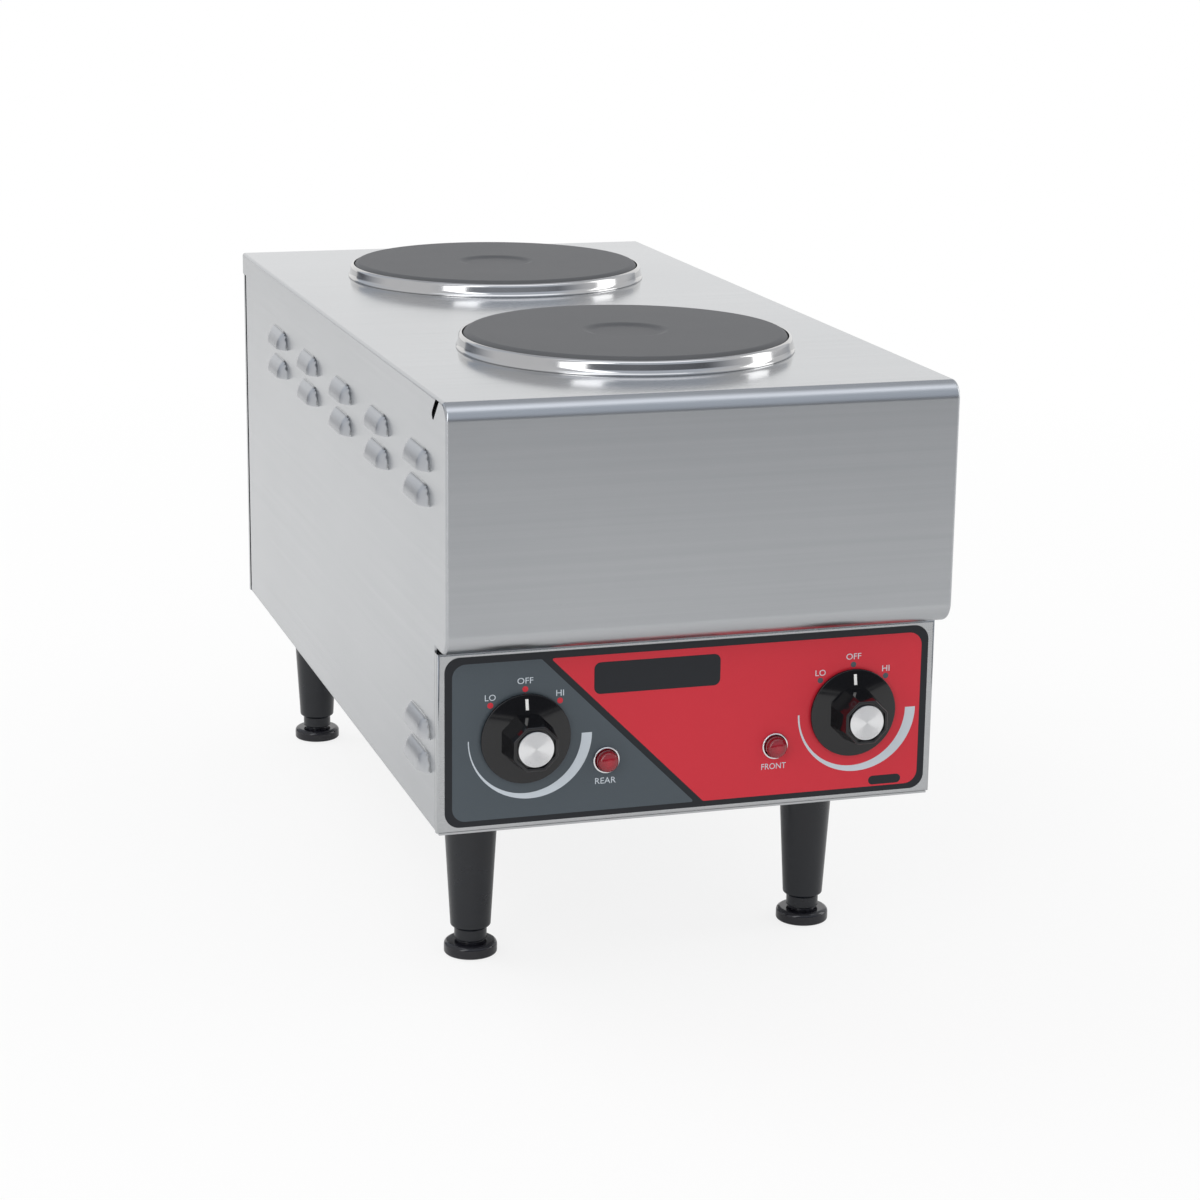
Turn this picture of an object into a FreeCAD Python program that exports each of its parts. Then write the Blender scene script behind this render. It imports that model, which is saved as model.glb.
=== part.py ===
# A two-burner counter hot plate: a stainless hood with louvred sides, two cast iron plates in
# bright trim rings, a recessed control panel with two knobs and two pilot lamps, and four
# adjustable legs. Millimetres, +Z up, front towards -Y, origin under the middle on the floor.
import FreeCAD, Part
import math
import os
import Sketcher

doc = FreeCAD.newDocument("HotPlate")
sheet = doc.addObject("Spreadsheet::Sheet", "Sizes")


class Size:
    """A driving dimension, or a sum of them: its value now and the expression that keeps it."""

    def __init__(self, value, text):
        self.value = value
        self.text = text

    def __add__(self, other):
        other = size(other)
        return Size(self.value + other.value, f"({self.text} + {other.text})")

    def __sub__(self, other):
        other = size(other)
        return Size(self.value - other.value, f"({self.text} - {other.text})")

    def __mul__(self, other):
        other = size(other)
        return Size(self.value * other.value, f"({self.text} * {other.text})")

    def __truediv__(self, other):
        other = size(other)
        return Size(self.value / other.value, f"({self.text} / {other.text})")

    def __radd__(self, other):
        return size(other) + self

    def __rsub__(self, other):
        return size(other) - self

    def __rmul__(self, other):
        return size(other) * self

    def __neg__(self):
        return Size(-self.value, f"(-{self.text})")


def size(number):
    return number if isinstance(number, Size) else Size(float(number), repr(float(number)))


def arc_cosine(ratio):
    """The angle, in degrees, whose cosine is the given ratio of two sizes."""
    return Size(math.degrees(math.acos(ratio.value)), f"acos({ratio.text})")


def driving(alias, value):
    """Writes one driving dimension to the sheet, under its own name."""
    driving.row += 1
    sheet.set(f"A{driving.row}", alias.replace("_", " "))
    sheet.set(f"B{driving.row}", str(value))
    sheet.setAlias(f"B{driving.row}", alias)
    return Size(float(value), f"Sizes.{alias}")


driving.row = 0

# Sheet metal body
sheet_wall = driving("sheet_wall", 1.2)
hood_width = driving("hood_width", 305)
hood_depth = driving("hood_depth", 607.6)
body_height = driving("body_height", 255.3)
stand_height = driving("stand_height", 109)
side_gap = driving("side_gap", 3)
side_setback = driving("side_setback", 27)
rear_setback = driving("rear_setback", 12)
apron_drop = driving("apron_drop", 144.3)
apron_return = driving("apron_return", 24)
top_bend = driving("top_bend", 10)
apron_bend = driving("apron_bend", 13)
edge_bend = driving("edge_bend", 2)
lip_drop = driving("lip_drop", 15)
rear_flange = driving("rear_flange", 12)
seat_gap = driving("seat_gap", 0.3)
relief_slot_length = driving("relief_slot_length", 17)
relief_slot_width = driving("relief_slot_width", 5.5)
relief_slot_start = driving("relief_slot_start", 16)

# Louvres
louvre_radius = driving("louvre_radius", 16)
louvre_proud = driving("louvre_proud", 5.6)
louvre_straight = driving("louvre_straight", 28)
louvre_first = driving("louvre_first", 64)
louvre_pitch = driving("louvre_pitch", 101.6)
louvre_row_pitch = driving("louvre_row_pitch", 20)
louvre_upper_drop = driving("louvre_upper_drop", 45.3)
louvre_lower_drop = driving("louvre_lower_drop", 202.3)
louvre_columns = 5
louvre_rows = 2

# Control panel
panel_setback = driving("panel_setback", 22)
panel_gap = driving("panel_gap", 2.5)
panel_tab_length = driving("panel_tab_length", 15)
panel_tab_height = driving("panel_tab_height", 70)
panel_flange = driving("panel_flange", 16)
overlay_sheet = driving("overlay_sheet", 0.4)
overlay_side_margin = driving("overlay_side_margin", 4.5)
overlay_end_margin = driving("overlay_end_margin", 3)
overlay_corner = driving("overlay_corner", 9)
control_spacing = driving("control_spacing", 201.2)
control_height = driving("control_height", 55.3)
pilot_spacing = driving("pilot_spacing", 104)
pilot_height = driving("pilot_height", 38.3)

# Base and rear
pan_flange = driving("pan_flange", 20)
vent_length = driving("vent_length", 44)
vent_width = driving("vent_width", 5)
vent_pitch = driving("vent_pitch", 14)
vent_count = 8
screw_radius = driving("screw_radius", 2)
screw_length = driving("screw_length", 9)
lip_screw_spacing = driving("lip_screw_spacing", 110)
base_screw_spacing = driving("base_screw_spacing", 180)
inlet_reach = driving("inlet_reach", 14)
inlet_offset = driving("inlet_offset", 95)
inlet_height = driving("inlet_height", 45)
inlet_radius = driving("inlet_radius", 6)
inlet_wall = driving("inlet_wall", 4)
inlet_nut = driving("inlet_nut", 6)
block_width = driving("block_width", 46)
block_length = driving("block_length", 22)
block_height = driving("block_height", 20)

# Burners
burner_radius = driving("burner_radius", 99.1)
burner_first = driving("burner_first", 158)
burner_pitch = driving("burner_pitch", 301.5)
plate_rise = driving("plate_rise", 10.5)
plate_depth = driving("plate_depth", 10)
plate_edge = driving("plate_edge", 6)
plate_rim = driving("plate_rim", 6.6)
dish_radius = driving("dish_radius", 23)
dish_depth = driving("dish_depth", 2.2)
ring_reach = driving("ring_reach", 4.1)
ring_height = driving("ring_height", 8.6)
ring_base = driving("ring_base", 2)
ring_lip = driving("ring_lip", 1.1)
stud_radius = driving("stud_radius", 4)
stud_length = driving("stud_length", 46)
bar_drop = driving("bar_drop", 27)
bar_width = driving("bar_width", 25)
bar_sheet = driving("bar_sheet", 2)
bar_foot = driving("bar_foot", 14)
terminal_offset = driving("terminal_offset", 55)

# Controls
knob_radius = driving("knob_radius", 26.7)
knob_reach = driving("knob_reach", 24.5)
knob_gap = driving("knob_gap", 1)
hub_radius = driving("hub_radius", 15.4)
hub_taper = driving("hub_taper", 7)
cap_radius = driving("cap_radius", 10.5)
cap_thick = driving("cap_thick", 1.6)
shaft_radius = driving("shaft_radius", 3)
shaft_play = driving("shaft_play", 0.05)
bush_wall = driving("bush_wall", 1.7)
switch_side = driving("switch_side", 38)
switch_depth = driving("switch_depth", 32)
pilot_radius = driving("pilot_radius", 6.4)
pilot_reach = driving("pilot_reach", 9)
bezel_wall = driving("bezel_wall", 1.3)
bezel_rise = driving("bezel_rise", 2.2)
pilot_depth = driving("pilot_depth", 26)

# Legs
leg_spacing = driving("leg_spacing", 217.6)
leg_first = driving("leg_first", 113.2)
leg_pitch = driving("leg_pitch", 458.4)
leg_top_radius = driving("leg_top_radius", 17.6)
leg_foot_radius = driving("leg_foot_radius", 12.4)
leg_neck_radius = driving("leg_neck_radius", 10)
leg_neck = driving("leg_neck", 7)
foot_radius = driving("foot_radius", 16.4)
foot_thick = driving("foot_thick", 8)
foot_collar = driving("foot_collar", 1.6)
foot_stem = driving("foot_stem", 5)
foot_stem_length = driving("foot_stem_length", 34)
leg_stud = driving("leg_stud", 5)
leg_stud_length = driving("leg_stud_length", 38)

# Places that several pieces share
apron_y = -(hood_depth + inlet_reach - knob_reach + panel_setback) / 2
panel_y = apron_y + panel_setback
rear_y = apron_y + hood_depth
top_z = stand_height + body_height
inner_half = hood_width / 2 - sheet_wall
apron_low = body_height - apron_drop
panel_top = apron_low - panel_gap
bush_radius = shaft_radius + shaft_play + bush_wall
opening_radius = burner_radius - plate_rim + 2 * seat_gap
front = FreeCAD.Rotation(FreeCAD.Vector(1, 0, 0), 90)
back = FreeCAD.Rotation(FreeCAD.Vector(1, 0, 0), -90)
upright = FreeCAD.Rotation()
down = FreeCAD.Rotation(FreeCAD.Vector(1, 0, 0), 180)
nodes = []


def bind(thing, **sizes):
    for name, value in sizes.items():
        thing.setExpression(name.replace("__", "."), size(value).text)


def place(thing, x, y, z, turn=upright):
    thing.Placement = FreeCAD.Placement(FreeCAD.Vector(), turn)
    bind(thing, Placement__Base__x=x, Placement__Base__y=y, Placement__Base__z=z)


def new_body(label, x=0, y=0, z=0, turn=upright, node=True):
    body = doc.addObject("PartDesign::Body", label)
    body.Label = label
    place(body, x, y, z, turn)
    if node:
        nodes.append(body)
    return body


def new_sketch(body, plane, offset=0):
    sketch = body.newObject("Sketcher::SketchObject", "Sketch")
    support = next(item for item in body.Origin.OriginFeatures if item.Role == plane)
    sketch.AttachmentSupport = (support, [""])
    sketch.MapMode = "FlatFace"
    bind(sketch, AttachmentOffset__Base__z=offset)
    return sketch


def hold(sketch, held):
    """Adds constraints to a sketch together, and binds each one that has a size."""
    numbers = sketch.addConstraint([constraint for constraint, _ in held])
    for number, (_, value) in zip(numbers, held):
        if value:
            sketch.setExpression(f"Constraints[{number}]", value.text)


def pinned(geometry, position, u, v):
    """The two constraints that hold a sketch's point at two sizes from the sketch's origin."""
    held = []
    for kind, axis, value in (("DistanceX", -2, size(u)), ("DistanceY", -1, size(v))):
        if value.value == 0:
            held.append((Sketcher.Constraint("PointOnObject", geometry, position, axis), None))
        else:
            held.append((Sketcher.Constraint(kind, -1, 1, geometry, position, value.value), value))
    return held


def arc_between(start, end, radius):
    """The arc from start to end, turning left where radius is positive and right where negative."""
    chord = end - start
    middle = (start + end) * 0.5
    height = math.sqrt(max(radius * radius - chord.Length ** 2 / 4, 0))
    side = FreeCAD.Vector(-chord.y, chord.x, 0).normalize() * math.copysign(height, radius)
    centre = middle + side
    first, last = (start, end) if radius > 0 else (end, start)
    begin = math.atan2(first.y - centre.y, first.x - centre.x)
    finish = math.atan2(last.y - centre.y, last.x - centre.x)
    circle = Part.Circle(centre, FreeCAD.Vector(0, 0, 1), abs(radius))
    return Part.ArcOfCircle(circle, begin, finish if finish > begin else finish + 2 * math.pi)


def outline(sketch, *corners):
    """A closed outline through the corners; a third value is the radius of the arc that ends there."""
    points = [FreeCAD.Vector(size(c[0]).value, size(c[1]).value, 0) for c in corners]
    shapes = []
    ends = []
    held = []
    for i, corner in enumerate(corners):
        index = sketch.GeometryCount + i
        if len(corner) == 3:
            radius = size(corner[2])
            shapes.append(arc_between(points[i - 1], points[i], radius.value))
            ends.append((index, 1, 2) if radius.value > 0 else (index, 2, 1))
            plain = radius if radius.value > 0 else -radius
            held.append((Sketcher.Constraint("Radius", index, plain.value), plain))
        else:
            shapes.append(Part.LineSegment(points[i - 1], points[i]))
            ends.append((index, 1, 2))
    for i, corner in enumerate(corners):
        index, _, finish = ends[i]
        following, start, _ = ends[(i + 1) % len(corners)]
        held.append((Sketcher.Constraint("Coincident", index, finish, following, start), None))
        held += pinned(index, finish, corner[0], corner[1])
    sketch.addGeometry(shapes, False)
    hold(sketch, held)


def rectangle(sketch, u0, v0, u1, v1):
    outline(sketch, (u0, v0), (u1, v0), (u1, v1), (u0, v1))


def rounded_rectangle(sketch, u0, v0, u1, v1, r):
    outline(sketch, (u0, v0 + r), (u0 + r, v0, r), (u1 - r, v0), (u1, v0 + r, r),
            (u1, v1 - r), (u1 - r, v1, r), (u0 + r, v1), (u0, v1 - r, r))


def slot_outline(sketch, u0, u1, v, width):
    """A round-ended slot that runs along u."""
    r = width / 2
    outline(sketch, (u1, v - r), (u1 + r, v, r), (u1, v + r, r), (u0, v + r), (u0 - r, v, r), (u0, v - r, r))


def circle(sketch, u, v, radius):
    radius = size(radius)
    centre = FreeCAD.Vector(size(u).value, size(v).value, 0)
    index = sketch.addGeometry(Part.Circle(centre, FreeCAD.Vector(0, 0, 1), radius.value), False)
    hold(sketch, [(Sketcher.Constraint("Radius", index, radius.value), radius)] + pinned(index, 3, u, v))


def polygon(sketch, sides, across, turn=0.0):
    """A regular polygon round the sketch's origin, by the radius of its inscribed circle."""
    corner = size(across) / math.cos(math.pi / sides)
    angles = [math.radians(turn) + math.pi * (2 * i + 1) / sides for i in range(sides)]
    outline(sketch, *[(corner * round(math.cos(a), 9), corner * round(math.sin(a), 9)) for a in angles])


def extrude(body, kind, sketch, length, reverse=False, symmetric=False):
    feature = body.newObject(kind, kind.split("::")[1])
    feature.Profile = sketch
    feature.Reversed = reverse
    feature.SideType = "Symmetric" if symmetric else "One side"
    bind(feature, Length=length)
    return feature


def pad(body, sketch, length, reverse=False, symmetric=False):
    return extrude(body, "PartDesign::Pad", sketch, length, reverse, symmetric)


def pocket(body, sketch, length, reverse=False, symmetric=False):
    return extrude(body, "PartDesign::Pocket", sketch, length, reverse, symmetric)


def revolve(body, sketch, axis="V_Axis", angle=360, kind="PartDesign::Revolution", reverse=False):
    feature = body.newObject(kind, kind.split("::")[1])
    feature.Profile = sketch
    feature.ReferenceAxis = (sketch, [axis])
    feature.Reversed = reverse
    bind(feature, Angle=angle)
    return feature


def turned(label, corners, x, y, z, turn=upright, node=True):
    """A round piece: its half section, as radius and height, turned about its own axis."""
    body = new_body(label, x, y, z, turn, node)
    sketch = new_sketch(body, "XZ_Plane")
    outline(sketch, *corners)
    revolve(body, sketch)
    return body


def fillet(body, feature, radius, wanted):
    """Rounds the edges of a feature whose middle point passes the test."""
    doc.recompute()
    names = []
    for i, edge in enumerate(feature.Shape.Edges, 1):
        middle = edge.valueAt((edge.FirstParameter + edge.LastParameter) / 2)
        if wanted(middle, edge):
            names.append(f"Edge{i}")
    rounding = body.newObject("PartDesign::Fillet", "Fillet")
    rounding.Base = (feature, names)
    bind(rounding, Radius=radius)
    return rounding


def repeat(body, originals, steps, mirror=False):
    """A pattern of features in steps along the body's axes, and its mirror image across X."""
    features = {item.Role: item for item in body.Origin.OriginFeatures}
    pattern = body.newObject("PartDesign::MultiTransform", "Pattern")
    pattern.Originals = originals
    transforms = []
    for axis, length, count in steps:
        step = body.newObject("PartDesign::LinearPattern", "Step")
        step.Direction = (features[axis], [""])
        step.Reversed = axis == "Z_Axis"
        step.Occurrences = count
        bind(step, Length=length)
        transforms.append(step)
    if mirror:
        image = body.newObject("PartDesign::Mirrored", "Mirror")
        image.MirrorPlane = (features["YZ_Plane"], [""])
        transforms.append(image)
    pattern.Transformations = transforms
    body.Tip = pattern


def group(label, members):
    """Like fasteners in one node, each its own solid."""
    bunch = doc.addObject("Part::Compound", label)
    bunch.Label = label
    bunch.Links = members
    nodes.append(bunch)
    return bunch


def near(value, target):
    return abs(value - target.value) < 0.01


# Hood shell
# One folded and welded sheet: top, both sides, a deep apron rolled at its top and bottom edges,
# and a lip at the rear. Local y runs back from the apron's face, local z up from the base.
hood = new_body("hood_shell", 0, apron_y, stand_height)
side = new_sketch(hood, "YZ_Plane")
side_end = hood_depth - rear_setback
lip_low = body_height - lip_drop
outline(side, (side_setback, side_gap), (side_end, side_gap), (side_end, lip_low), (hood_depth, lip_low),
        (hood_depth, body_height), (top_bend, body_height), (0, body_height - top_bend, top_bend),
        (0, apron_low + apron_bend), (apron_bend, apron_low, apron_bend), (side_setback, apron_low))
block = pad(hood, side, hood_width, symmetric=True)


def on_folded_edge(middle, edge):
    on_side = near(abs(middle.x), hood_width / 2)
    return on_side and (near(middle.z, body_height) or (middle.y < top_bend.value - 0.1 and len(edge.Vertexes) == 2))


fillet(hood, block, edge_bend, on_folded_edge)
inside_top = body_height - sheet_wall
relief = new_sketch(hood, "YZ_Plane", hood_width / 2)
slot_slope = relief_slot_length / math.sqrt(2)
slot_half = relief_slot_width / math.sqrt(2)
slot_y = relief_slot_start
slot_z = inside_top
outline(relief, (slot_y, slot_z), (slot_y + slot_slope, slot_z - slot_slope),
        (slot_y + slot_slope + slot_half, slot_z - slot_slope + slot_half, relief_slot_width * 0.52),
        (slot_y + 2 * slot_half, slot_z))
slot_cut = pocket(hood, relief, 3 * sheet_wall)


def louvre(drop):
    """One louvre on the right side: a half capsule pressed out of the wall, open along its lower lip."""
    features = []
    axis_x = hood_width / 2 - louvre_radius + louvre_proud
    edge = louvre_radius - louvre_proud
    half = louvre_straight / 2
    for radius, angle, kind in ((louvre_radius, arc_cosine(edge / louvre_radius), "PartDesign::Revolution"),
                                (louvre_radius - sheet_wall, size(90), "PartDesign::Groove")):
        sketch = new_sketch(hood, "XY_Plane", body_height - drop)
        sketch.AttachmentOffset = FreeCAD.Placement()
        bind(sketch, AttachmentOffset__Base__x=axis_x, AttachmentOffset__Base__y=louvre_first,
             AttachmentOffset__Base__z=body_height - drop)
        outline(sketch, (0, -half - radius), (radius, -half, radius), (radius, half), (0, half + radius, radius))
        features.append(revolve(hood, sketch, "V_Axis", angle, kind, reverse=True))
    return features


rows = ("Z_Axis", louvre_row_pitch * (louvre_rows - 1), louvre_rows)
columns = ("Y_Axis", louvre_pitch * (louvre_columns - 1), louvre_columns)
repeat(hood, [slot_cut], [], mirror=True)
repeat(hood, louvre(louvre_upper_drop), [rows, columns], mirror=True)
repeat(hood, louvre(louvre_lower_drop), [rows], mirror=True)
hollow = new_sketch(hood, "YZ_Plane")
inside_apron = apron_low + sheet_wall
inside_rear = hood_depth - sheet_wall
outline(hollow, (apron_return, 0), (side_end + sheet_wall, 0), (side_end + sheet_wall, lip_low - sheet_wall),
        (inside_rear, lip_low - sheet_wall), (inside_rear, inside_top), (top_bend, inside_top),
        (sheet_wall, body_height - top_bend, top_bend - sheet_wall), (sheet_wall, apron_low + apron_bend),
        (apron_bend, inside_apron, apron_bend - sheet_wall), (apron_return, inside_apron))
pocket(hood, hollow, 2 * inner_half, symmetric=True)
burner_holes = new_sketch(hood, "XY_Plane", body_height)
circle(burner_holes, 0, burner_first, opening_radius)
circle(burner_holes, 0, burner_first + burner_pitch, opening_radius)
pocket(hood, burner_holes, 2 * sheet_wall)
flanges = new_sketch(hood, "XY_Plane", side_gap)
for left, right in ((-inner_half, rear_flange - inner_half), (inner_half - rear_flange, inner_half)):
    rectangle(flanges, left, side_end - sheet_wall, right, side_end)
pad(hood, flanges, body_height - lip_drop - side_gap)

lip_holes = new_sketch(hood, "XZ_Plane", -hood_depth)
lip_screw_z = body_height - lip_drop / 2
for i in (-1, 0, 1):
    circle(lip_holes, i * lip_screw_spacing, lip_screw_z, screw_radius + seat_gap)
pocket(hood, lip_holes, 2 * sheet_wall, reverse=True)

# Base pan
# A tray under the body: plate with vents, folded up along both sides inside the hood.
pan = new_body("base_pan", 0, apron_y, stand_height)
pan_half = inner_half - seat_gap
pan_front = panel_setback + sheet_wall
pan_rear = hood_depth - 2 * sheet_wall
pan_plate = new_sketch(pan, "XY_Plane")
rectangle(pan_plate, -pan_half, pan_front, pan_half, pan_rear)
for leg_y in (leg_first, leg_first + leg_pitch):
    for leg_x in (-leg_spacing / 2, leg_spacing / 2):
        circle(pan_plate, leg_x, leg_y, leg_stud + seat_gap)
panel_return = side_setback - panel_setback - seat_gap
base_screw_front = panel_setback + (panel_return + panel_flange) / 2
base_screw_rear = hood_depth - panel_flange * 3 / 5
for hand in (-1, 1):
    circle(pan_plate, hand * base_screw_spacing / 2, base_screw_front, screw_radius + seat_gap)
    circle(pan_plate, hand * base_screw_spacing / 2, base_screw_rear, screw_radius + seat_gap)
pad(pan, pan_plate, sheet_wall)
pan_sides = new_sketch(pan, "XY_Plane")
for left, right in ((-pan_half, sheet_wall - pan_half), (pan_half - sheet_wall, pan_half)):
    rectangle(pan_sides, left, side_setback + panel_tab_length, right, hood_depth - rear_setback - 2 * sheet_wall)
pad(pan, pan_sides, pan_flange)
vents = new_sketch(pan, "XY_Plane")
vent_start = hood_depth / 2 - vent_pitch * (vent_count - 1) / 2
for centre in (-hood_width / 6, hood_width / 6):
    slot_outline(vents, centre - vent_length / 2, centre + vent_length / 2, vent_start, vent_width)
vent_cut = pocket(pan, vents, 2 * sheet_wall, reverse=True)
repeat(pan, [vent_cut], [("Y_Axis", vent_pitch * (vent_count - 1), vent_count)])

# Control panel
# A shallow tray that closes the front under the apron. Its tabs lie behind the hood's sides, its
# lower flange on the base pan, and it carries the two switches and the two pilot lamps.
panel = new_body("control_panel", 0, panel_y, stand_height)
panel_half = hood_width / 2
face = new_sketch(panel, "XZ_Plane")
rectangle(face, -panel_half, sheet_wall, panel_half, panel_top)
tray = pad(panel, face, panel_return, reverse=True)


def on_panel_edge(middle, edge):
    return abs(middle.y) < 0.01


fillet(panel, tray, edge_bend, on_panel_edge)
recess = new_sketch(panel, "XZ_Plane", -panel_return)
rectangle(recess, -inner_half, 2 * sheet_wall, inner_half, panel_top - sheet_wall)
pocket(panel, recess, panel_return - sheet_wall, reverse=True)
tab_low = (panel_top - panel_tab_height) / 2
tabs = new_sketch(panel, "XY_Plane", tab_low)
for outer, inner in ((-pan_half, sheet_wall - pan_half), (pan_half - sheet_wall, pan_half)):
    rectangle(tabs, outer, sheet_wall / 2, inner, panel_tab_length)
pad(panel, tabs, panel_tab_height)
lower = new_sketch(panel, "XY_Plane", sheet_wall)
rectangle(lower, -pan_half + edge_bend, panel_return - sheet_wall, pan_half - edge_bend, panel_flange)
for hand in (-1, 1):
    circle(lower, hand * base_screw_spacing / 2, base_screw_front - panel_setback, screw_radius + shaft_play)
pad(panel, lower, sheet_wall)
panel_holes = new_sketch(panel, "XZ_Plane")
for hand in (-1, 1):
    circle(panel_holes, hand * control_spacing / 2, control_height, bush_radius + seat_gap)
    circle(panel_holes, hand * pilot_spacing / 2, pilot_height, pilot_radius + seat_gap)
pocket(panel, panel_holes, 2 * sheet_wall)

# Panel overlay
# The printed plastic sheet stuck on the panel, with clearance round the switch nuts and lamps.
overlay = new_body("panel_overlay", 0, panel_y, stand_height)
film = new_sketch(overlay, "XZ_Plane")
overlay_half = panel_half - overlay_side_margin
overlay_low = sheet_wall + overlay_end_margin
overlay_top = panel_top - overlay_end_margin
nut_across = bush_radius + bush_wall + seat_gap
rounded_rectangle(film, -overlay_half, overlay_low, overlay_half, overlay_top, overlay_corner)
for hand in (-1, 1):
    circle(film, hand * control_spacing / 2, control_height, nut_across * 2 / math.sqrt(3) + seat_gap)
    circle(film, hand * pilot_spacing / 2, pilot_height, pilot_radius + seat_gap)
pad(overlay, film, overlay_sheet)

# Rear panel
# Closes the back below the hood's lip: flanges turned forward at both sides, a tongue behind
# the lip, a flange on the base pan, and the hole for the cord inlet.
rear = new_body("rear_panel", 0, rear_y, stand_height)
rear_face = -sheet_wall - seat_gap
rear_return = rear_setback * 5 / 8
rear_plate = new_sketch(rear, "XZ_Plane", -rear_face)
rectangle(rear_plate, -panel_half, sheet_wall, panel_half, lip_low - seat_gap)
rear_block = pad(rear, rear_plate, rear_return + rear_face)


def on_rear_edge(middle, edge):
    return near(middle.y, rear_face) and near(abs(middle.x), panel_half)


fillet(rear, rear_block, edge_bend, on_rear_edge)
rear_hollow = new_sketch(rear, "XZ_Plane", sheet_wall - rear_face)
rectangle(rear_hollow, -inner_half, 2 * sheet_wall, inner_half, body_height)
pocket(rear, rear_hollow, rear_return + sheet_wall, reverse=True)
tongue = new_sketch(rear, "XZ_Plane", -rear_face)
rectangle(tongue, -inner_half * 0.9, lip_low - lip_drop, inner_half * 0.9, body_height - 3 * sheet_wall)
for i in (-1, 0, 1):
    circle(tongue, i * lip_screw_spacing, lip_screw_z, screw_radius + shaft_play)
pad(rear, tongue, sheet_wall)
rear_foot = new_sketch(rear, "XY_Plane", sheet_wall)
rectangle(rear_foot, -pan_half + edge_bend, -panel_flange, pan_half - edge_bend, rear_face - sheet_wall)
for hand in (-1, 1):
    circle(rear_foot, hand * base_screw_spacing / 2, base_screw_rear - hood_depth, screw_radius + shaft_play)
pad(rear, rear_foot, sheet_wall)
inlet_hole = new_sketch(rear, "XZ_Plane", -rear_face)
circle(inlet_hole, inlet_offset, inlet_height, inlet_radius + inlet_wall + seat_gap)
pocket(rear, inlet_hole, 2 * sheet_wall, reverse=True)

# Screws
# Pan-head screws hold the hood's lip on the rear panel, and the base pan on both panels' flanges.
screw_profile = [(0, -screw_length), (screw_radius, -screw_length), (screw_radius, 0), (2 * screw_radius, 0),
                 (2 * screw_radius, screw_radius / 2), (1.4 * screw_radius, screw_radius), (0, screw_radius)]
lip_screws = []
for i in (-1, 0, 1):
    lip_screws.append(turned(f"lip_screw_{i + 2}", screw_profile, i * lip_screw_spacing, rear_y,
                             stand_height + lip_screw_z, back, node=False))
group("lip_screws", lip_screws)
base_screws = []
for hand in (-1, 1):
    for screw_y in (base_screw_front, base_screw_rear):
        base_screws.append(turned(f"base_screw_{len(base_screws) + 1}", screw_profile, hand * base_screw_spacing / 2,
                                  apron_y + screw_y, stand_height, down, node=False))
group("base_screws", base_screws)

# Cord inlet
# A plastic gland through the rear panel, with its locknut inside.
gland_flange = inlet_radius + 2 * inlet_wall
gland_outer = inlet_radius + inlet_wall
gland_tail = 3 * inlet_nut
turned("cord_inlet",
       [(inlet_radius, -gland_tail), (gland_outer, -gland_tail), (gland_outer, rear_face),
        (gland_flange, rear_face), (gland_flange, inlet_reach / 2), (gland_outer, inlet_reach),
        (inlet_radius, inlet_reach)],
       inlet_offset, rear_y, stand_height + inlet_height, back)
locknut = new_body("inlet_nut", inlet_offset, rear_y, stand_height + inlet_height, back)
locknut_face = new_sketch(locknut, "XY_Plane", rear_face - sheet_wall - inlet_nut)
polygon(locknut_face, 6, gland_flange)
circle(locknut_face, 0, 0, gland_outer + seat_gap)
pad(locknut, locknut_face, inlet_nut)

# Terminal block
# The supply lands on a ceramic block on the base pan, with three clamp screws.
terminals = new_body("terminal_block", inlet_offset - block_width, rear_y - 4 * block_length,
                     stand_height + sheet_wall)
block_foot = new_sketch(terminals, "XY_Plane")
rectangle(block_foot, -block_width / 2, -block_length / 2, block_width / 2, block_length / 2)
pad(terminals, block_foot, block_height)
wells = new_sketch(terminals, "XY_Plane", block_height)
for i in (-1, 0, 1):
    circle(wells, i * block_width / 3.2, 0, block_width / 10)
pocket(terminals, wells, block_height / 2)

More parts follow.
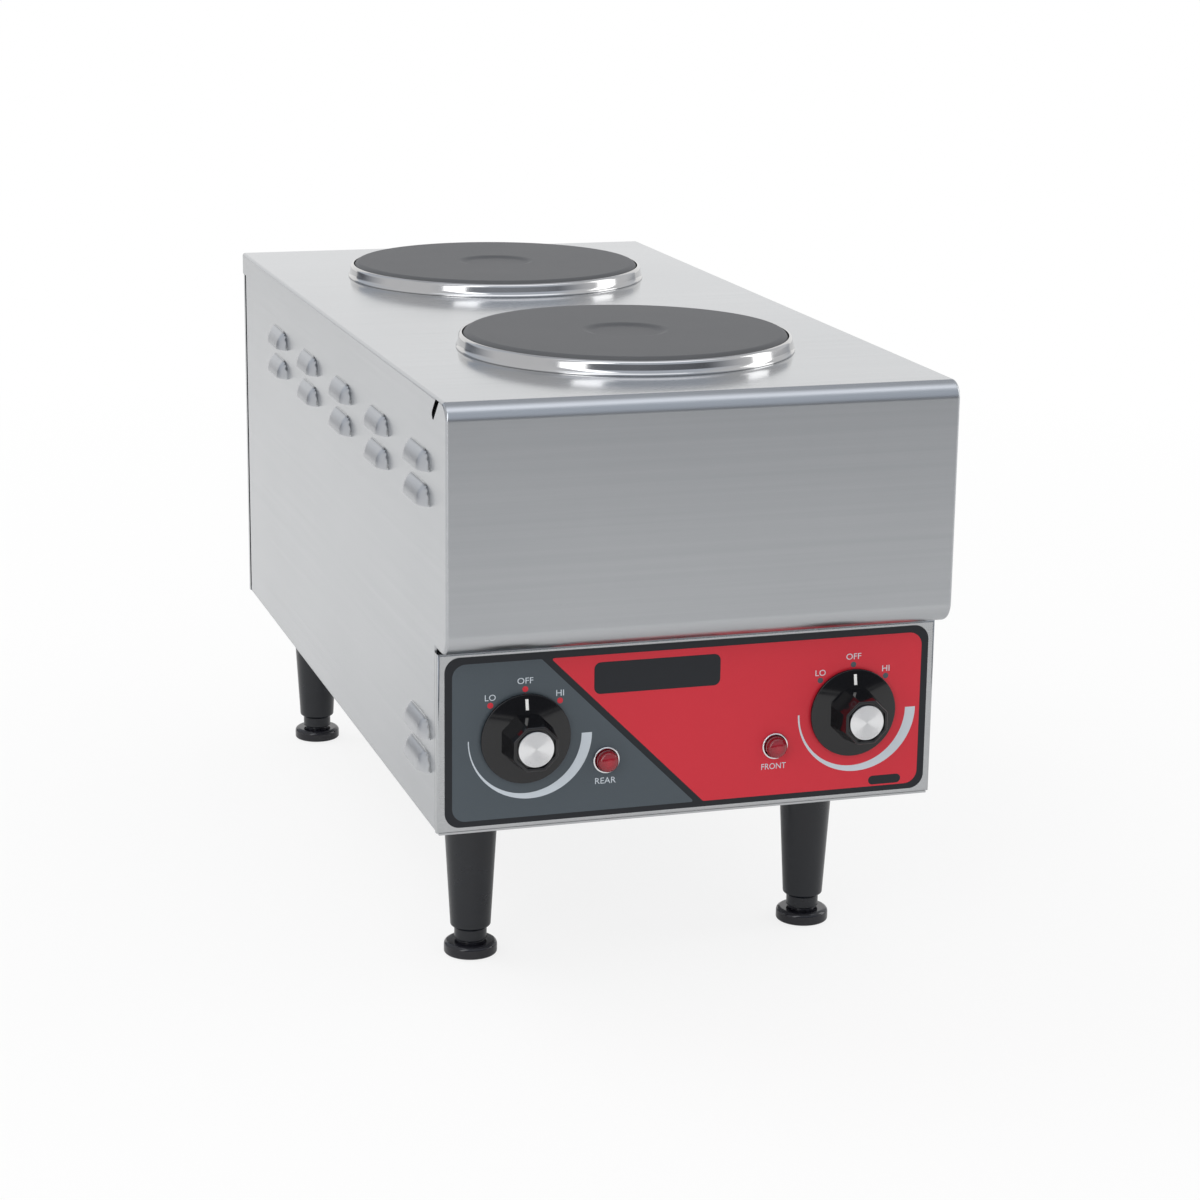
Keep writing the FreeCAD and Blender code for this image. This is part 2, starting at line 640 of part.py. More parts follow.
# Burners
# Each is a cast iron plate in a stainless trim ring that rests on the hood round its opening, and
# a stud pulls it down against a bar under the hood. A cover closes the coil groove below.
plate_wall = burner_radius - plate_rim
bar_top = -sheet_wall
bar_floor = bar_top - bar_drop
bar_wall = opening_radius + 2 * bar_sheet
bar_half = bar_wall + bar_foot
hub_pad = 3 * stud_radius
coil_inner = 7 * stud_radius
coil_outer = plate_wall - plate_rim
for name, burner_y in (("front", burner_first), ("rear", burner_first + burner_pitch)):
    spot = (0, apron_y + burner_y, top_z)
    turned(f"{name}_burner_plate",
           [(0, plate_rise - dish_depth), (dish_radius, plate_rise - dish_depth),
            (dish_radius + dish_depth, plate_rise), (burner_radius - plate_edge, plate_rise),
            (burner_radius, plate_rise - plate_edge, -plate_edge), (burner_radius, ring_base),
            (plate_wall, ring_base), (plate_wall, -plate_depth), (coil_outer, -plate_depth),
            (coil_outer, -plate_depth / 2), (coil_inner, -plate_depth / 2), (coil_inner, -plate_depth),
            (stud_radius + shaft_play, -plate_depth), (stud_radius + shaft_play, ring_base), (0, ring_base)],
           *spot)
    turned(f"{name}_burner_ring",
           [(plate_wall + seat_gap, 0), (burner_radius + ring_reach, 0),
            (burner_radius + ring_reach, ring_base / 2),
            (burner_radius + seat_gap + ring_lip, ring_height, 2 * ring_height),
            (burner_radius + seat_gap, ring_height), (burner_radius + seat_gap, ring_base),
            (plate_wall + seat_gap, ring_base)],
           *spot)
    turned(f"{name}_burner_cover",
           [(hub_pad, -plate_depth), (coil_outer + plate_rim / 2, -plate_depth),
            (coil_outer + plate_rim / 2, -plate_depth - sheet_wall), (hub_pad, -plate_depth - sheet_wall)],
           *spot)
    turned(f"{name}_burner_stud",
           [(0, ring_base - seat_gap), (stud_radius, ring_base - seat_gap), (stud_radius, -stud_length),
            (0, -stud_length)],
           *spot)
    bar = new_body(f"{name}_clamp_bar", *spot)
    bar_side = new_sketch(bar, "XZ_Plane")
    inner_top = bar_top - bar_sheet
    outline(bar_side, (-bar_half, bar_top), (-bar_half, inner_top), (-bar_wall, inner_top),
            (-bar_wall, bar_floor - bar_sheet), (bar_wall, bar_floor - bar_sheet),
            (bar_wall, inner_top), (bar_half, inner_top), (bar_half, bar_top),
            (bar_wall - bar_sheet, bar_top), (bar_wall - bar_sheet, bar_floor),
            (bar_sheet - bar_wall, bar_floor), (bar_sheet - bar_wall, bar_top))
    pad(bar, bar_side, bar_width, symmetric=True)
    bar_hole = new_sketch(bar, "XY_Plane", bar_floor)
    circle(bar_hole, 0, 0, stud_radius + seat_gap)
    pocket(bar, bar_hole, 2 * bar_sheet)
    nut = new_body(f"{name}_burner_nut", *spot)
    nut_face = new_sketch(nut, "XY_Plane", bar_floor - bar_sheet)
    polygon(nut_face, 6, 1.625 * stud_radius)
    circle(nut_face, 0, 0, stud_radius + shaft_play)
    pad(nut, nut_face, 1.6 * stud_radius, reverse=True)
    contact = new_body(f"{name}_burner_terminal", 0, apron_y + burner_y + terminal_offset, top_z)
    contact_top = new_sketch(contact, "XY_Plane", -plate_depth - sheet_wall)
    rounded_rectangle(contact_top, -4 * stud_radius, -2 * stud_radius, 4 * stud_radius, 2 * stud_radius,
                      stud_radius)
    pad(contact, contact_top, 3 * stud_radius, reverse=True)
    pins = new_sketch(contact, "XY_Plane", -plate_depth - sheet_wall)
    for i in (-1, 0, 1):
        circle(pins, i * 2.4 * stud_radius, 0, stud_radius / 2)
    pad(contact, pins, 5 * stud_radius, reverse=True)

# Controls
# Each knob is a skirted black moulding with an eight-sided hub and an aluminium cap, on the flat
# shaft of a switch that hangs on the panel by its bush and nut. Local z runs out of the panel.
cap_seat = knob_reach - cap_thick
skirt_back = overlay_sheet + knob_gap
skirt_rim = skirt_back + 2
skirt_top = skirt_rim + 2.2
nut_top = 2 * bush_wall
bush_top = nut_top + bush_wall
hub_height = cap_seat - skirt_top
shaft_tail = switch_depth / 2
for name, hand in (("rear", -1), ("front", 1)):
    spot = (hand * control_spacing / 2, panel_y, stand_height + control_height)
    knob = turned(f"{name}_knob",
                  [(0, skirt_back), (knob_radius, skirt_back), (knob_radius, skirt_rim),
                   (hub_radius, skirt_top), (0, skirt_top)],
                  *spot, front)
    hub = new_sketch(knob, "XY_Plane", skirt_back + knob_gap)
    polygon(hub, 8, hub_radius)
    hub_pad_feature = pad(knob, hub, knob_reach - skirt_back - knob_gap)
    bind(hub_pad_feature, TaperAngle=-hub_taper)
    socket = new_sketch(knob, "XY_Plane", skirt_back)
    circle(socket, 0, 0, nut_across * 2 / math.sqrt(3) + knob_gap)
    pocket(knob, socket, bush_top + knob_gap - skirt_back, reverse=True)
    bore = new_sketch(knob, "XY_Plane", skirt_back)
    circle(bore, 0, 0, shaft_radius + shaft_play)
    pocket(knob, bore, cap_seat - cap_thick - skirt_back, reverse=True)
    seat = new_sketch(knob, "XY_Plane", knob_reach)
    circle(seat, 0, 0, cap_radius + shaft_play)
    pocket(knob, seat, cap_thick)
    turned(f"{name}_knob_cap",
           [(0, cap_seat), (cap_radius, cap_seat), (cap_radius, knob_reach - cap_thick / 4),
            (cap_radius - cap_thick / 4, knob_reach), (0, knob_reach)],
           *spot, front)
    shaft = turned(f"{name}_switch_shaft",
                   [(0, -shaft_tail), (shaft_radius, -shaft_tail), (shaft_radius, cap_seat - 2 * cap_thick),
                    (0, cap_seat - 2 * cap_thick)],
                   *spot, front)
    flat = new_sketch(shaft, "XY_Plane", cap_seat)
    rectangle(flat, -2 * shaft_radius, shaft_radius * 0.6, 2 * shaft_radius, 2 * shaft_radius)
    pocket(shaft, flat, cap_seat - bush_top - knob_gap)
    switch = new_body(f"{name}_switch", *spot, front)
    case = new_sketch(switch, "XY_Plane", -sheet_wall)
    half = switch_side / 2
    rounded_rectangle(case, -half, -half, half, half, switch_side / 12)
    pad(switch, case, switch_depth, reverse=True)
    bush = new_sketch(switch, "XY_Plane", -2 * sheet_wall)
    circle(bush, 0, 0, bush_radius)
    pad(switch, bush, bush_top + 2 * sheet_wall)
    tails = new_sketch(switch, "XY_Plane", -sheet_wall - switch_depth)
    for u, v in ((-0.6, 0.6), (0.6, 0.6), (-0.6, -0.6), (0.6, -0.6), (0, 0)):
        rectangle(tails, u * half - bush_wall * 2, v * half - bush_wall / 4, u * half + bush_wall * 2,
                  v * half + bush_wall / 4)
    pad(switch, tails, switch_side / 5, reverse=True)
    way = new_sketch(switch, "XY_Plane", bush_top)
    circle(way, 0, 0, shaft_radius + shaft_play)
    pocket(switch, way, bush_top + shaft_tail + seat_gap)
    ring_nut = new_body(f"{name}_switch_nut", *spot, front)
    ring_face = new_sketch(ring_nut, "XY_Plane")
    polygon(ring_face, 6, nut_across)
    circle(ring_face, 0, 0, bush_radius + shaft_play)
    pad(ring_nut, ring_face, nut_top)

# Pilot lamps
# A black body through the panel, a bright bezel on the overlay and a domed red lens.
for name, hand in (("rear", -1), ("front", 1)):
    spot = (hand * pilot_spacing / 2, panel_y, stand_height + pilot_height)
    lamp = turned(f"{name}_pilot_body",
                  [(0, -pilot_depth), (pilot_radius, -pilot_depth), (pilot_radius, overlay_sheet),
                   (0, overlay_sheet)],
                  *spot, front)
    collar = new_sketch(lamp, "XY_Plane", -sheet_wall)
    circle(collar, 0, 0, pilot_radius + 2 * bezel_wall)
    pad(lamp, collar, 2 * bezel_wall, reverse=True)
    blades = new_sketch(lamp, "XY_Plane", -pilot_depth)
    for i in (-1, 1):
        rectangle(blades, i * pilot_radius / 2 - bezel_wall / 4, -pilot_radius / 2,
                  i * pilot_radius / 2 + bezel_wall / 4, pilot_radius / 2)
    pad(lamp, blades, pilot_radius, reverse=True)
    bezel_inner = pilot_radius + seat_gap
    turned(f"{name}_pilot_bezel",
           [(bezel_inner, overlay_sheet), (bezel_inner + bezel_wall, overlay_sheet),
            (bezel_inner + bezel_wall, overlay_sheet + bezel_rise - bezel_wall / 2),
            (bezel_inner + bezel_wall / 2, overlay_sheet + bezel_rise, bezel_wall / 2),
            (bezel_inner, overlay_sheet + bezel_rise - bezel_wall / 2, bezel_wall / 2)],
           *spot, front)
    turned(f"{name}_pilot_lens",
           [(0, overlay_sheet), (pilot_radius, overlay_sheet),
            (pilot_radius, pilot_reach - pilot_radius / 2),
            (0, pilot_reach, pilot_radius * 1.25)],
           *spot, front)

# Legs and feet
# Tapered black legs screwed to the base pan by a steel stud and nut. The foot's threaded stem runs
# in the leg, and rests screwed home against the leg's end.
leg_length = stand_height - foot_thick - foot_collar
bore_depth = foot_stem_length + foot_collar
stud_inside = leg_stud_length * 2 / 3
studs = []
nuts = []
for end, leg_y in (("front", leg_first), ("rear", leg_first + leg_pitch)):
    for hand, leg_x in (("left", -leg_spacing / 2), ("right", leg_spacing / 2)):
        spot = (leg_x, apron_y + leg_y, stand_height)
        turned(f"{end}_{hand}_leg",
               [(0, -stud_inside), (leg_stud + shaft_play, -stud_inside), (leg_stud + shaft_play, 0),
                (leg_top_radius, 0), (leg_foot_radius, leg_neck - leg_length + foot_collar),
                (leg_neck_radius, leg_neck - leg_length), (leg_neck_radius, -leg_length),
                (foot_stem + shaft_play, -leg_length), (foot_stem + shaft_play, bore_depth - leg_length),
                (0, bore_depth - leg_length)],
               *spot)
        turned(f"{end}_{hand}_foot",
               [(0, 0), (foot_radius - foot_collar, 0), (foot_radius, foot_collar, foot_collar),
                (foot_radius, foot_thick - 2 * foot_collar),
                (foot_radius - 2 * foot_collar, foot_thick, 2 * foot_collar),
                (leg_neck_radius - foot_collar, foot_thick),
                (leg_neck_radius - foot_collar, foot_thick + foot_collar - shaft_play),
                (foot_stem, foot_thick + foot_collar - shaft_play),
                (foot_stem, foot_thick + foot_stem_length), (0, foot_thick + foot_stem_length)],
               leg_x, apron_y + leg_y, 0)
        studs.append(turned(f"{end}_{hand}_stud",
                            [(0, seat_gap - stud_inside), (leg_stud, seat_gap - stud_inside),
                             (leg_stud, leg_stud_length - stud_inside), (0, leg_stud_length - stud_inside)],
                            *spot, node=False))
        stud_nut = new_body(f"{end}_{hand}_nut", *spot, node=False)
        stud_nut_face = new_sketch(stud_nut, "XY_Plane", sheet_wall)
        polygon(stud_nut_face, 6, 1.7 * leg_stud)
        circle(stud_nut_face, 0, 0, leg_stud + shaft_play)
        pad(stud_nut, stud_nut_face, 1.6 * leg_stud)
        nuts.append(stud_nut)
group("leg_studs", studs)
group("leg_nuts", nuts)

doc.recompute()
for thing in doc.Objects:
    if "Invalid" in thing.State or "Error" in thing.State:
        raise SystemExit(f"{thing.Label} did not build: {thing.State}")
os.makedirs("parts", exist_ok=True)
for node in nodes:
    if node.Shape.isNull() or not node.Shape.isValid():
        raise SystemExit(f"{node.Label} has no valid shape")
    node.Shape.exportStep(f"parts/{node.Label}.step")
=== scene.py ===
import math

import bmesh
import bpy
from mathutils import Matrix, Quaternion, Vector


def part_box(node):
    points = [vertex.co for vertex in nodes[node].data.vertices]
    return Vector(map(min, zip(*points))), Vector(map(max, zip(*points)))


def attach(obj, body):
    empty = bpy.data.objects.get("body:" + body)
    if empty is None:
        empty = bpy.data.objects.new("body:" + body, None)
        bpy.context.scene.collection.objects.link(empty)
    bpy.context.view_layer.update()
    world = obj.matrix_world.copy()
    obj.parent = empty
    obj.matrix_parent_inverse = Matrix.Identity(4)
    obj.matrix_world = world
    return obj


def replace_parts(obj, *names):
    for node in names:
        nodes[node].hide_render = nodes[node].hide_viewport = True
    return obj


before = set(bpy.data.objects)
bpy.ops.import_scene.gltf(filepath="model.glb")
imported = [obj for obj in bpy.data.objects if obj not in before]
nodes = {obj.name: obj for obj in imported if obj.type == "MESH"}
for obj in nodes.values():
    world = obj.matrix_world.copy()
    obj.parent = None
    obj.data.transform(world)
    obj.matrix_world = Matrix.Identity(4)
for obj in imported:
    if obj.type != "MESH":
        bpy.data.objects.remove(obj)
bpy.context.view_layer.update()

# Hood
# One sheet of satin stainless steel, folded into top, sides, rolled apron and rear lip, with the
# louvres pressed out of its sides. It is the main body, and everything else hangs on it.
mm = 0.001
side_from = 0.1512
louvre_from = 0.1531
top_from = 0.3638


class Wire:
    """A shader socket: sums of wires add Math nodes, and node() adds any other kind."""

    def __init__(self, tree, socket=None):
        self.tree = tree
        self.socket = socket

    def plug(self, node, sockets):
        """Gives each socket of a node its value, or the wire that feeds it."""
        for name, value in sockets.items():
            if isinstance(value, Wire):
                self.tree.links.new(value.socket, node.inputs[name])
            else:
                node.inputs[name].default_value = value

    def node(self, kind, settings, sockets, out=0):
        made = self.tree.nodes.new(kind)
        for name, value in settings.items():
            setattr(made, name, value)
        self.plug(made, sockets)
        return Wire(self.tree, made.outputs[out])

    def math(self, operation, *values):
        return self.node("ShaderNodeMath", {"operation": operation}, dict(enumerate(values)))

    def __add__(self, other):
        return self.math("ADD", self, other)

    def __radd__(self, other):
        return self.math("ADD", other, self)

    def __sub__(self, other):
        return self.math("SUBTRACT", self, other)

    def __rsub__(self, other):
        return self.math("SUBTRACT", other, self)

    def __mul__(self, other):
        return self.math("MULTIPLY", self, other)

    def __gt__(self, other):
        return self.math("GREATER_THAN", self, other)

    def __abs__(self):
        return self.math("ABSOLUTE", self)

    def ramp(self, start, end):
        """Nought up to start, one from end on, and even between."""
        grown = (self - start) * (1 / (end - start))
        return self.math("MINIMUM", self.math("MAXIMUM", grown, 0.0), 1.0)

    def place(self, scale=(1, 1, 1), centre=(0, 0, 0)):
        """The piece's own coordinates in metres, from a centre, stretched by a scale."""
        here = self.node("ShaderNodeTexCoord", {}, {}, "Object")
        middle = self.node("ShaderNodeVectorMath", {"operation": "SUBTRACT"}, {0: here, 1: centre})
        return self.node("ShaderNodeMapping", {}, {"Vector": middle, "Scale": scale})

    def along(self, axis):
        """One of the piece's own coordinates: X, Y or Z."""
        return self.node("ShaderNodeSeparateXYZ", {}, {"Vector": self.place()}, axis)

    def distance(self, axes, centre=(0, 0, 0)):
        """How far from a centre, measured along the axes that are set to one."""
        here = self.place(axes, centre)
        return self.node("ShaderNodeVectorMath", {"operation": "LENGTH"}, {0: here}, "Value")

    def noise(self, scale, detail=2.0, rough=0.5):
        sockets = {"Vector": self.place(scale), "Scale": 1.0, "Detail": detail, "Roughness": rough}
        return self.node("ShaderNodeTexNoise", {}, sockets, "Fac")

    def rings(self, axis, centre, pitch, wobble=0.0):
        """Fine turned rings about an axis through a centre, one each pitch."""
        settings = {"wave_type": "RINGS", "rings_direction": axis}
        sockets = {"Vector": self.place((1, 1, 1), centre), "Scale": math.pi / (10 * pitch),
                   "Distortion": wobble, "Detail": 1.0, "Detail Scale": 2.0}
        return self.node("ShaderNodeTexWave", settings, sockets, "Fac")

    def blend(self, factor, first, second):
        """A colour between two others, each a wire or its red, green and blue."""
        one, other = [colour if isinstance(colour, Wire) else (*colour, 1) for colour in (first, second)]
        return self.node("ShaderNodeMix", {"data_type": "RGBA"}, {0: factor, 6: one, 7: other}, 2)

    def bump(self, height, strength, distance, under=None):
        sockets = {"Height": height, "Strength": strength, "Distance": distance}
        if under:
            sockets["Normal"] = under
        return self.node("ShaderNodeBump", {}, sockets, "Normal")


def new_finish(name):
    material = bpy.data.materials.new(name)
    material.use_nodes = True
    return material, Wire(material.node_tree)


def set_finish(material, sockets):
    Wire(material.node_tree).plug(material.node_tree.nodes["Principled BSDF"], sockets)
    return material


def satin_steel(name, dark, light, rough):
    """Brushed sheet: grain across the top and front, and lengthwise on the sides, over faint dents.
    The top and sides shine more than the front; the pressed louvres are duller, and painted paler to lift the
    shade on their front ends."""
    steel, wire = new_finish(name)
    across = abs(wire.along("X"))
    on_side = across > side_from
    louvre_mask_painted_paler = across > louvre_from
    on_top = wire.along("Z") > top_from
    fine_across = wire.noise((9, 1700, 1700), 3, 0.6)
    fine_along = wire.noise((1700, 9, 1700), 3, 0.6)
    fine = fine_across + (fine_along - fine_across) * on_side
    broad_across = wire.noise((2, 210, 210), 3, 0.6)
    broad_along = wire.noise((210, 2, 210), 3, 0.6)
    broad = broad_across + (broad_along - broad_across) * on_side
    cloud = wire.noise((7, 7, 9), 2, 0.5)
    dents = wire.noise((5, 5, 7), 1, 0.4)
    surface = wire.bump(dents, 0.30, 1.0 * mm)
    surface = wire.bump(fine, 0.06, 0.03 * mm, surface)
    worked = louvre_mask_painted_paler * 0.13 - on_top * 0.16 - on_side * 0.10
    return set_finish(steel, {
        # Painted light: the louvres are coloured paler to lift the shade on their front ends.
        "Base Color": wire.blend(broad * 0.7 + fine * 0.3 + louvre_mask_painted_paler * 0.8, dark, light),
        "Metallic": 1.0,
        "Roughness": rough + worked + (fine - 0.5) * 0.10 + (cloud - 0.5) * 0.08,
        "Normal": surface,
    })


def joined(name, shape, finish, body, sharp=32):
    """A shape as a smooth piece with crisp edges, at the origin, riding on a body."""
    mesh = bpy.data.meshes.new(name)
    shape.to_mesh(mesh)
    shape.free()
    mesh.materials.append(finish)
    mesh.shade_smooth()
    mesh.set_sharp_from_angle(angle=math.radians(sharp))
    piece = bpy.data.objects.new(name, mesh)
    bpy.context.scene.collection.objects.link(piece)
    even = piece.modifiers.new("even_sheen", "WEIGHTED_NORMAL")
    even.keep_sharp = True
    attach(piece, body)
    return piece


def folded(name, node, finish):
    """A folded sheet as one skin: the solid's own facets, merged, with each flat stretch as one face."""
    skin = bmesh.new()
    skin.from_mesh(nodes[node].data)
    bmesh.ops.remove_doubles(skin, verts=skin.verts, dist=0.002 * mm)
    bmesh.ops.dissolve_limit(skin, angle_limit=math.radians(0.5), verts=skin.verts, edges=skin.edges)
    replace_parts(joined(name, skin, finish, "chassis"), node)


hood_steel = satin_steel("hood_steel", (0.41, 0.425, 0.44), (0.51, 0.52, 0.535), 0.31)
folded("hood", "hood_shell", hood_steel)

# Base pan, rear panel and control panel
# Thinner sheets of the same steel. The pan closes the bottom and carries the legs, the rear panel
# takes the cord inlet, and the front tray carries the switches and lamps.
pan_steel = satin_steel("pan_steel", (0.46, 0.47, 0.48), (0.54, 0.55, 0.56), 0.36)
folded("base_tray", "base_pan", pan_steel)
folded("back_sheet", "rear_panel", hood_steel)
tray_steel = satin_steel("tray_steel", (0.42, 0.43, 0.44), (0.50, 0.51, 0.52), 0.26)
folded("front_tray", "control_panel", tray_steel)

# Printed overlay
# A polycarbonate film stuck on the front tray: black border, slate and red fields with a black
# stripe between them, bare black shapes, silver sweep marks, dots and dial words, all in raised ink.
film_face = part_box("panel_overlay")[0].y / mm
knob_x, knob_z = 100.6, 164.3
lamp_x, lamp_z = 52.0, 147.3
knob_hole, lamp_hole = 13, 6.9
field_side, field_low, field_high, field_corner = 143.7, 116.6, 210.4, 8
sweep_z = 164.5
dot_radius = 1.75
mark_spread = 20.7
letter_height = 3.6


def printed(name, colour, rough, speck=0.05):
    """Printed film: even colour with a fine screen mottle under a satin skin."""
    ink, wire = new_finish(name)
    mottle = wire.noise((1100, 1100, 1100))
    tone = wire.noise((14, 14, 14))
    low = [c * (1 - speck) for c in colour]
    high = [c * (1 + speck) for c in colour]
    return set_finish(ink, {
        "Base Color": wire.blend(mottle * 0.5 + tone * 0.5, low, high),
        "Specular IOR Level": 0.35,
        "Roughness": rough + (mottle - 0.5) * 0.10,
        "Normal": wire.bump(mottle, 0.08, 0.03 * mm),
    })


def outline(shape, corners):
    """A closed line in the film's plane from corners (x, z, rounding)."""
    ring = [shape.verts.new((x * mm, 0, z * mm)) for x, z, _ in corners]
    shape.faces.new(ring)
    for vert, (_, _, rounding) in zip(ring, corners):
        one, other = [(edge.other_vert(vert).co - vert.co) for edge in vert.link_edges]
        setback = rounding * mm / math.tan(one.angle(other) / 2)
        bmesh.ops.bevel(shape, geom=[vert], affect="VERTICES", offset=setback, offset_type="OFFSET",
                        segments=10, profile=0.5, material=-1)
    bmesh.ops.delete(shape, geom=shape.faces[:], context="FACES_ONLY")


def circle(shape, x, z, radius, segments=64):
    """A closed round line in the film's plane."""
    made = bmesh.ops.create_circle(shape, cap_ends=False, segments=segments, radius=radius * mm)["verts"]
    bmesh.ops.rotate(shape, verts=made, matrix=Matrix.Rotation(math.pi / 2, 3, "X"))
    bmesh.ops.translate(shape, verts=made, vec=(x * mm, 0, z * mm))


def pulled(shape, faces, shift):
    """Extrudes faces and moves the new end by a shift."""
    made = bmesh.ops.extrude_face_region(shape, geom=faces)["geom"]
    ends = [part for part in made if isinstance(part, bmesh.types.BMVert)]
    bmesh.ops.translate(shape, verts=ends, vec=shift)


def inked(name, shape, finish, low, high):
    """A flat shape in the film's plane as a layer of ink, from low to high above the film."""
    bmesh.ops.translate(shape, verts=shape.verts, vec=(0, (film_face - low) * mm, 0))
    pulled(shape, shape.faces[:], (0, (low - high) * mm, 0))
    bmesh.ops.recalc_face_normals(shape, faces=shape.faces)
    joined(name, shape, finish, "chassis")


def layer(name, shape, finish, proud, cut_above=None):
    """Fills the outlines, cuts off what is above a level, and lays the rest on the film as ink."""
    bmesh.ops.triangle_fill(shape, use_beauty=True, use_dissolve=False, edges=shape.edges)
    if cut_above:
        bmesh.ops.bisect_plane(shape, geom=shape.verts[:] + shape.edges[:] + shape.faces[:], dist=1e-7,
                               plane_co=(0, 0, cut_above * mm), plane_no=(0, 0, 1), clear_outer=True)
    inked(name, shape, finish, -0.02, proud)


def word(name, text, x, z, wide, finish):
    """A dial word: flat letters made a mesh, fitted to their printed size and laid on the film."""
    letters = bpy.data.curves.new(name, "FONT")
    letters.body = text
    letters.resolution_u = 6
    flat = bpy.data.objects.new(name, letters)
    mesh = bpy.data.meshes.new_from_object(flat)
    bpy.data.objects.remove(flat)
    bpy.data.curves.remove(letters)
    shape = bmesh.new()
    shape.from_mesh(mesh)
    bpy.data.meshes.remove(mesh)
    bmesh.ops.remove_doubles(shape, verts=shape.verts, dist=1e-6)
    low = Vector([min(v.co[i] for v in shape.verts) for i in range(3)])
    top = Vector([max(v.co[i] for v in shape.verts) for i in range(3)])
    fit = (wide * mm / (top.x - low.x), letter_height * mm / (top.y - low.y), 1)
    bmesh.ops.translate(shape, verts=shape.verts, vec=-(low + top) / 2)
    bmesh.ops.scale(shape, verts=shape.verts, vec=fit)
    bmesh.ops.rotate(shape, verts=shape.verts, matrix=Matrix.Rotation(math.pi / 2, 3, "X"))
    bmesh.ops.translate(shape, verts=shape.verts, vec=(x * mm, 0, z * mm))
    inked(name, shape, finish, 0.04, 0.10)


border_ink = printed("border_ink", (0.006, 0.008, 0.012), 0.30)
slate_ink = printed("slate_ink", (0.060, 0.076, 0.090), 0.36)
red_ink = printed("red_ink", (0.55, 0.018, 0.034), 0.36)
silver_ink = printed("silver_ink", (0.52, 0.57, 0.62), 0.40, 0.03)
nodes["panel_overlay"].data.materials.clear()
nodes["panel_overlay"].data.materials.append(border_ink)

slate_corners = [(-field_side, field_low, field_corner), (2.9, field_low, 1), (-90.9, field_high, 2),
                 (-field_side, field_high, field_corner)]
red_corners = [(8.3, field_low, 2), (field_side, field_low, field_corner),
               (field_side, field_high, field_corner), (-85.5, field_high, 1)]
for name, corners, side, ink in (("slate", slate_corners, -1, slate_ink), ("red", red_corners, 1, red_ink)):
    field = bmesh.new()
    outline(field, corners)
    circle(field, side * knob_x, knob_z, knob_hole)
    circle(field, side * lamp_x, lamp_z, lamp_hole)
    layer(f"{name}_field", field, ink, 0.06)

for name, left, right, low, high, corner in (("bare_plaque", -59.5, 17.3, 187, 206, 4),
                                             ("bare_pill", 112.6, 133.2, 117.6, 123.1, 2.7)):
    block = bmesh.new()
    outline(block, [(left, low, corner), (right, low, corner), (right, high, corner), (left, high, corner)])
    layer(name, block, border_ink, 0.12)

for name, x, outer, inner, dot_ink in (("rear", -knob_x, (-97.5, 37.0), (-100.3, 33.6), red_ink),
                                       ("front", knob_x, (103.7, 37.3), (101.0, 33.6), slate_ink)):
    sweep = bmesh.new()
    for middle, radius in (outer, inner):
        circle(sweep, middle, sweep_z, radius, 128)
    layer(f"{name}_sweep_mark", sweep, silver_ink, 0.10, sweep_z)
    dots = bmesh.new()
    for shift, z in ((0, 193.3), (-mark_spread, 185), (mark_spread, 185)):
        circle(dots, x + shift, z, dot_radius, 24)
    layer(f"{name}_dial_dots", dots, dot_ink, 0.10)
    word(f"{name}_off_word", "OFF", x, 198.3, 9.4, silver_ink)
    word(f"{name}_low_word", "LO", x - mark_spread, 189.6, 6.4, silver_ink)
    word(f"{name}_high_word", "HI", x + mark_spread, 189.6, 4.6, silver_ink)
word("rear_lamp_word", "REAR", -lamp_x, 134.5, 12.6, silver_ink)
word("front_lamp_word", "FRONT", lamp_x, 134.5, 15.4, silver_ink)

# Burner plates
# Solid cast plates with a shallow dish at the centre, turned flat on top and coated dark matt.
# Each sits in its bright ring and is pulled down from below by a stud and a clamp bar.
top_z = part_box("front_burner_ring")[0].z / mm


def placed(shape, centre, facing=None):
    """Turns a shape and moves it from the origin to its centre."""
    if facing:
        bmesh.ops.rotate(shape, verts=shape.verts, matrix=facing)
    bmesh.ops.translate(shape, verts=shape.verts, vec=Vector(centre) * mm)


def turned(name, profile, centre, finish, body, node, steps=144, facing=None, closed=False):
    """A round piece: a profile of (radius, height, edge softening) spun about its axis."""
    shape = bmesh.new()
    line = [shape.verts.new((corner[0] * mm, 0, corner[1] * mm)) for corner in profile]
    edges = [shape.edges.new(pair) for pair in zip(line, line[1:])]
    if closed:
        edges.append(shape.edges.new((line[-1], line[0])))
    bmesh.ops.spin(shape, geom=line + edges, axis=(0, 0, 1), cent=(0, 0, 0), dvec=(0, 0, 0),
                   angle=2 * math.pi, steps=steps, use_merge=True)
    bmesh.ops.remove_doubles(shape, verts=shape.verts, dist=0.001 * mm)
    for radius, height, soft in [corner for corner in profile if len(corner) == 3]:
        ring = [edge for edge in shape.edges
                if all(abs(v.co.z - height * mm) < 1e-6 and abs(v.co.xy.length - radius * mm) < 1e-6
                       for v in edge.verts)]
        bmesh.ops.bevel(shape, geom=ring, affect="EDGES", offset=soft * mm, offset_type="OFFSET",
                        segments=6, profile=0.5, material=-1)
    bmesh.ops.recalc_face_normals(shape, faces=shape.faces)
    placed(shape, centre, facing)
    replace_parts(joined(name, shape, finish, body, 40), node)


